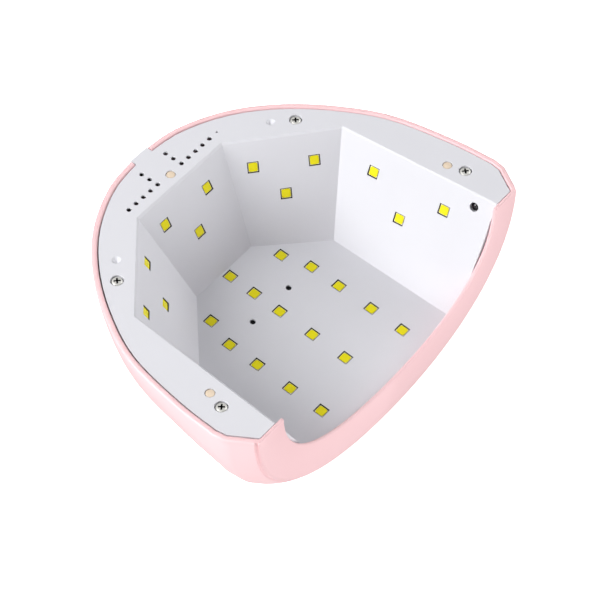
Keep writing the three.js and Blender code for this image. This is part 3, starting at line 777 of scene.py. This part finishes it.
def plated_metal(name, dark, light, roughness, metallic=1.0):
    """Plated steel, slightly uneven in tone, with painted shade making any cross recess near black."""
    made, tree, out = new_material(name)
    place = add_node(tree, "ShaderNodeTexCoord")
    patch = add_node(tree, "ShaderNodeTexNoise", {"Vector": place.outputs["Object"]}, Scale=700.0, Detail=3.0)
    tone = add_node(tree, "ShaderNodeValToRGB", {"Fac": patch.outputs["Fac"]})
    tone.color_ramp.elements[0].color = linear(dark)
    tone.color_ramp.elements[1].color = linear(light)
    rough = add_node(tree, "ShaderNodeMapRange", {"Value": patch.outputs["Fac"]})
    rough.inputs["To Min"].default_value = roughness - 0.06
    rough.inputs["To Max"].default_value = roughness + 0.08
    recess = add_node(tree, "ShaderNodeAttribute", attribute_name="recess")
    # Painted shade: the faces marked as inside the cross recess are mixed to near black.
    recess_shade = add_node(tree, "ShaderNodeMix", {"Factor": recess.outputs["Fac"]}, data_type="RGBA")
    tree.links.new(tone.outputs["Color"], recess_shade.inputs[6])
    recess_shade.inputs[7].default_value = linear("#0d0c0a")
    body = add_node(tree, "ShaderNodeBsdfPrincipled", {
        "Base Color": recess_shade.outputs[2], "Roughness": rough.outputs["Result"],
    }, Metallic=metallic)
    tree.links.new(body.outputs[0], out.inputs["Surface"])
    return made


# Nickel plate, dulled in the barrel: a pale warm grey, half mirror, broken by fine tumbling marks.
nickel = plated_metal("barrel_plated_nickel", "#cfcec8", "#ecebe6", 0.42, metallic=0.45)
heads_down = Matrix.Rotation(math.pi, 4, "X")


def foot_of(node):
    """The middle of the bottom of a CAD node."""
    low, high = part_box(node)
    return Vector(((low.x + high.x) / 2, (low.y + high.y) / 2, low.z))


head_half, head_tall, shank_half, screw_reach = 2.75, 1.8, 1.5, 13.0
pan_head = crossed(turned([
    (0, 0), (head_half - 1.1, -0.03), (head_half - 0.5, -0.18), (head_half - 0.12, -0.55),
    (head_half, -1.05), (head_half, -head_tall + 0.12), (head_half - 0.12, -head_tall),
    (shank_half, -head_tall), (shank_half, 0.6 - screw_reach), (0, -screw_reach),
]), 3.6, 0.9, 0.2, 1.7)
screw_places = [Matrix.Translation(foot_of("base_screw_" + corner)) @ heads_down for corner in corners]
screws = copies("base_screws", pan_head, screw_places, nickel, spin=0.9, seed=3)
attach(screws, "root")
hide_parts(*("base_screw_" + corner for corner in corners))

# ---- Ceiling screws -----------------------------------------------------------------------------
# Two small black screws go up through the ceiling and its board into posts of the shell. Their heads
# sit just inside their holes.

# Steel with a black oxide finish: dark, dull and a little oily.
black_oxide = plated_metal("black_oxide_steel", "#0b0b0c", "#1a1a1c", 0.5, metallic=0.6)
small_head = crossed(turned([
    (0, 0), (0.8, -0.03), (1.12, -0.16), (1.25, -0.4), (1.25, -0.9), (0.7, -0.9), (0.7, -9.6), (0, -10),
], 28), 1.5, 0.36, 0.1, 0.6)
small_places = [Matrix.Translation(foot_of("ceiling_screw_" + hand)) @ heads_down
                for hand in ("left", "right")]
small_screws = copies("ceiling_screws", small_head, small_places, black_oxide, spin=1.4, seed=5)
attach(small_screws, "root")
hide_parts("ceiling_screw_left", "ceiling_screw_right")

# ---- Magnets ------------------------------------------------------------------------------------
# Three cream-coated disc magnets are set into seats in the flange, to hold a loose base tray.

# Sprayed epoxy over a sintered magnet: cream, matt, faintly mottled by the spray.
cream_epoxy, tree, out = new_material("sprayed_cream_epoxy")
place = add_node(tree, "ShaderNodeTexCoord")
spray = add_node(tree, "ShaderNodeTexNoise", {"Vector": place.outputs["Object"]}, Scale=900.0, Detail=3.0)
tone = add_node(tree, "ShaderNodeValToRGB", {"Fac": spray.outputs["Fac"]})
tone.color_ramp.elements[0].color = linear("#d8c2a6")
tone.color_ramp.elements[1].color = linear("#ead9c4")
body = add_node(
    tree, "ShaderNodeBsdfPrincipled", {"Base Color": tone.outputs["Color"]}, Roughness=0.6, IOR=1.55)
tree.links.new(body.outputs[0], out.inputs["Surface"])
disc_half, disc_tall = 2.15, 1.1
disc = turned([
    (0, 0), (disc_half - 0.3, 0), (disc_half - 0.05, -0.1), (disc_half, -0.3), (disc_half, 0.1 - disc_tall),
    (disc_half - 0.15, -disc_tall), (0, -disc_tall)])
magnet_places = [Matrix.Translation(foot_of("magnet_" + seat)) @ heads_down for seat in magnet_seats]
magnets = copies("disc_magnets", disc, magnet_places, cream_epoxy)
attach(magnets, "root")
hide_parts(*("magnet_" + seat for seat in magnet_seats))

# ---- Hand sensors -------------------------------------------------------------------------------
# An infrared sender and a receiver face each other across the opening, low in the side walls. Each is
# a round lens of smoked epoxy set a little inside its hole.

# Cast epoxy dyed almost black: deep, glossy, faintly purple.
smoked, tree, out = new_material("cast_smoked_epoxy")
place = add_node(tree, "ShaderNodeTexCoord")
haze = add_node(tree, "ShaderNodeTexNoise", {"Vector": place.outputs["Object"]}, Scale=1200.0)
tone = add_node(tree, "ShaderNodeValToRGB", {"Fac": haze.outputs["Fac"]})
tone.color_ramp.elements[0].color = linear("#0a070a")
tone.color_ramp.elements[1].color = linear("#171016")
body = add_node(
    tree, "ShaderNodeBsdfPrincipled", {"Base Color": tone.outputs["Color"]}, Roughness=0.12, IOR=1.55)
tree.links.new(body.outputs[0], out.inputs["Surface"])
lens = turned([
    (0, 3), (0.6, 2.95), (1.2, 2.7), (1.7, 2.25), (1.95, 1.7), (2, 1), (2, -3), (0, -3)], 36)


def sensor_place(node):
    """Where a sensor stands: a matrix at its middle whose z points along it to the hand."""
    low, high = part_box(node)
    middle = (low + high) / 2
    to_hand = Vector((-math.copysign(1, middle.x), 0, 0))
    rear = [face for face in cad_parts[node].data.polygons if face.normal.dot(to_hand) < -0.75]
    axis = -sum((face.normal * face.area for face in rear), Vector()).normalized()
    return Matrix.Translation(middle) @ axis.to_track_quat("Z", "Y").to_matrix().to_4x4()


sensor_nodes = ("hand_sensor_receiver", "hand_sensor_sender")
sensors = copies("hand_sensor_lenses", lens, [sensor_place(name) for name in sensor_nodes], smoked)
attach(sensors, "root")
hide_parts(*sensor_nodes)

# ---- Power jack ---------------------------------------------------------------------------------
# A black nylon barrel jack stands on the flange in the notch at the back of the shell, with a plated
# pin in the middle of its socket.

# Moulded nylon: black, a little dusty, with a fine sparked grain.
black_nylon = moulded_plastic("moulded_black_nylon", "#121214", "#1b1b1e", 0.42, 0.5, 0.01)
jack_low, jack_high = (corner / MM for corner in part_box("power_jack"))
socket_half, socket_height, socket_deep, pin_half = 3.15, 8.0, 10.0, 0.8
jack_back = (jack_high.y - front_y / MM, jack_low.y - front_y / MM)
jack = piece_from(slab(jack_high.x, jack_back[1], jack_back[0], jack_low.z, jack_high.z), "barrel_jack")
settle(soften(jack, 0.5, 3))


def along_plug(profile, tip_back):
    """A turned bmesh laid along the plug's line with its height 0 at a distance back."""
    skin = turned(profile, 36)
    lie = Matrix.Translation(in_frame(0, tip_back, socket_height)) @ Matrix.Rotation(-math.pi / 2, 4, "X")
    bmesh.ops.transform(skin, matrix=lie, verts=skin.verts)
    return skin


carve(jack, along_plug([
    (0, -socket_deep), (socket_half, -socket_deep), (socket_half, -0.5), (socket_half + 0.5, 0.02),
    (socket_half + 0.5, 1), (0, 1)], jack_back[0]))
jack.data.set_sharp_from_angle(angle=math.radians(35))
jack.data.materials.append(black_nylon)
pin = piece_from(along_plug([
    (0, -socket_deep - 0.5), (pin_half, -socket_deep - 0.5), (pin_half, -2.4), (pin_half - 0.3, -2), (0, -2),
], jack_back[0]), "jack_pin")
pin.data.materials.append(nickel)
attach(jack, "root")
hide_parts("power_jack")
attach(pin, "root")

# ---- Timer buttons ------------------------------------------------------------------------------
# Three white ABS caps on top of the dome, each on its own switch. A cap's top follows the dome, its
# skirt keeps it in the shell, and one, two or three moulded dots tell the times apart.

# Moulded ABS, white and polished: a little glossier than the shell.
cap_white = moulded_plastic("polished_white_abs", "#e3e1e0", "#dfdedd", 0.28, 1.2, 0.006, coat=0.2)
button_proud, cap_half, skirt_half, skirt_tall, stem_half = 0.7, button_diameter / 2, 6.7, 1.1, 2.0
rows = hood_rows(-button_proud, 0)
wide = len(rows[0])
proud_points = [point for row in rows for point in row]
proud_faces = [(r * wide + c, r * wide + c + 1, (r + 1) * wide + c + 1, (r + 1) * wide + c)
               for r in range(len(rows) - 1) for c in range(wide - 1)]
proud_dome = BVHTree.FromPolygons(proud_points, proud_faces)


def dome_height(place):
    """The height in millimetres of the raised dome that the caps' tops lie in."""
    hit = proud_dome.ray_cast(Vector((place.x, place.y, 0.2)), Vector((0, 0, -1)))[0]
    return hit.z / MM


def cap_mesh(right, skirt_low, stem_low):
    """A cap: a domed top with a rolled edge, a straight side, a skirt and a stem."""
    skin = bmesh.new()
    roll, sides = 0.9, 64
    top = [(cap_half * share, 0) for share in (0, 0.2, 0.4, 0.6, 0.75)]
    for step in range(7):
        angle = math.radians(15 * step)
        top.append((cap_half - roll + roll * math.sin(angle), roll * (1 - math.cos(angle))))
    below = [
        (cap_half, skirt_low + skirt_tall + 0.15), (cap_half + 0.15, skirt_low + skirt_tall),
        (skirt_half, skirt_low + skirt_tall), (skirt_half, skirt_low), (stem_half, skirt_low),
        (stem_half, stem_low + 0.2), (stem_half - 0.2, stem_low), (0, stem_low)]
    middle = in_frame(right, button_back, 0)
    rings = []
    for radius, drop in top + below:
        ring = []
        for side in range(sides if radius else 1):
            angle = 2 * math.pi * side / sides
            place = middle + Vector((math.cos(angle), math.sin(angle), 0)) * radius * MM
            level = (radius, drop) in top
            place.z = (dome_height(place) - drop if level else drop) * MM
            ring.append(skin.verts.new(place))
        rings.append(ring if radius else ring * sides)
    for upper, lower in zip(rings, rings[1:]):
        for at in range(sides):
            after = (at + 1) % sides
            skin.faces.new(tuple(dict.fromkeys((upper[after], upper[at], lower[at], lower[after]))))
    bmesh.ops.recalc_face_normals(skin, faces=skin.faces)
    return skin


dot_half, dot_pitch, dot_deep = 0.55, 1.9, 0.4
for dots, (hand, right) in enumerate(button_places.items(), start=1):
    node = "timer_button_" + hand
    stem_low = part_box(node)[0].z / MM
    middle = in_frame(right, button_back, 0).xy
    skirt_top = max(vertex.co.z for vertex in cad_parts[node].data.vertices
                    if (vertex.co.xy - middle).length > (cap_half + 0.7) * MM) / MM
    cap = piece_from(cap_mesh(right, skirt_top - skirt_tall, stem_low), hand + "_timer_cap")
    for dot in range(dots):
        across = right + dot_pitch * (dot - (dots - 1) / 2)
        level = dome_height(in_frame(across, button_back, 0))
        carve(cap, bar(2 * dot_half, level - dot_deep, level + 1, across, button_back, 24))
    cap.data.set_sharp_from_angle(angle=math.radians(40))
    cap.data.materials.append(cap_white)
    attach(cap, "button_" + hand)
    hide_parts(node)

# ---- Switches and control board -----------------------------------------------------------------
# Under the caps, three tact switches stand on a green circuit board with the lamp's timer chip, the
# emitter driver and its capacitor, all soldered on by machine. None of it shows with the lamp shut.
switch_nodes = ["button_switch_" + hand for hand in button_places]
switch_low, switch_high = (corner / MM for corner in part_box(switch_nodes[0]))
switch_side, switch_tall, plunger_half = 6.0, 3.3, 1.7
switch_body = pillow(switch_side, 0.4, 0, [(switch_tall - 0.25, 0), (switch_tall, 0.12)])
switch_places = [Matrix.Translation(foot_of(name)) for name in switch_nodes]
switches = copies("tact_switch_bodies", switch_body, switch_places, black_nylon)
plunger = turned([
    (0, switch_tall - 1), (plunger_half, switch_tall - 1), (plunger_half, switch_tall + 0.65),
    (plunger_half - 0.15, switch_high.z - switch_low.z), (0, switch_high.z - switch_low.z)], 28)
plungers = copies("tact_switch_plungers", plunger, switch_places, black_nylon)
for made in (switches, plungers):
    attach(made, "root")
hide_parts(*switch_nodes)

# Screened solder mask over glass epoxy: green, glossy, with darker copper tracks showing through.
green_mask, tree, out = new_material("screened_green_solder_mask")
place = add_node(tree, "ShaderNodeTexCoord")
tracks = add_node(tree, "ShaderNodeTexBrick", {"Vector": place.outputs["Object"]}, Scale=1 / (2.4 * MM))
tracks.inputs["Color1"].default_value = linear("#1d5c37")
tracks.inputs["Color2"].default_value = linear("#226641")
tracks.inputs["Mortar"].default_value = linear("#2f7f52")
body = add_node(
    tree, "ShaderNodeBsdfPrincipled", {"Base Color": tracks.outputs["Color"]}, Roughness=0.3, IOR=1.5)
tree.links.new(body.outputs[0], out.inputs["Surface"])
control_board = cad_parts["control_board"]
control_board.data.materials.clear()
control_board.data.materials.append(green_mask)
board_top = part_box("control_board")[1].z / MM


def board_part(name, skin, right, back, finish):
    """Stands a part on the control board."""
    shift = Matrix.Translation(in_frame(right, back, board_top + 0.1))
    bmesh.ops.transform(skin, matrix=shift, verts=skin.verts)
    made = piece_from(skin, name)
    made.data.set_sharp_from_angle(angle=math.radians(35))
    made.data.materials.append(finish)
    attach(made, "root")


timer_chip = pillow(4.9, 0.2, 0.1, [(1.3, 0), (1.5, 0.1)])
driver_chip = pillow(4.0, 0.2, 0.1, [(1.2, 0), (1.4, 0.1)])
can = turned([(0, 0), (2, 0), (2, 0.6), (1.85, 0.9), (2, 1.2), (2, 4.6), (1.8, 4.8), (0, 4.8)])
board_part("timer_chip", timer_chip, 9, 35, black_nylon)
board_part("driver_chip", driver_chip, -11, 34, black_nylon)
board_part("capacitor", can, 20, 33, nickel)

# ---- Leads --------------------------------------------------------------------------------------
# A two-core lead runs inside the dome from the jack to the control board, and a short one goes down
# from there to the ceiling board. Both lie hidden between the shell and the liner.

# Extruded PVC: black, semi-matt, smooth along its length.
sheath, tree, out = new_material("extruded_black_pvc")
place = add_node(tree, "ShaderNodeTexCoord")
drawn = add_node(tree, "ShaderNodeTexNoise", {"Vector": place.outputs["Object"]}, Scale=500.0)
tone = add_node(tree, "ShaderNodeValToRGB", {"Fac": drawn.outputs["Fac"]})
tone.color_ramp.elements[0].color = linear("#1c1c20")
tone.color_ramp.elements[1].color = linear("#2a2a2f")
body = add_node(
    tree, "ShaderNodeBsdfPrincipled", {"Base Color": tone.outputs["Color"]}, Roughness=0.45, IOR=1.5)
tree.links.new(body.outputs[0], out.inputs["Surface"])
for name in ("power_lead", "led_lead"):
    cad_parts[name].data.materials.clear()
    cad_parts[name].data.materials.append(sheath)
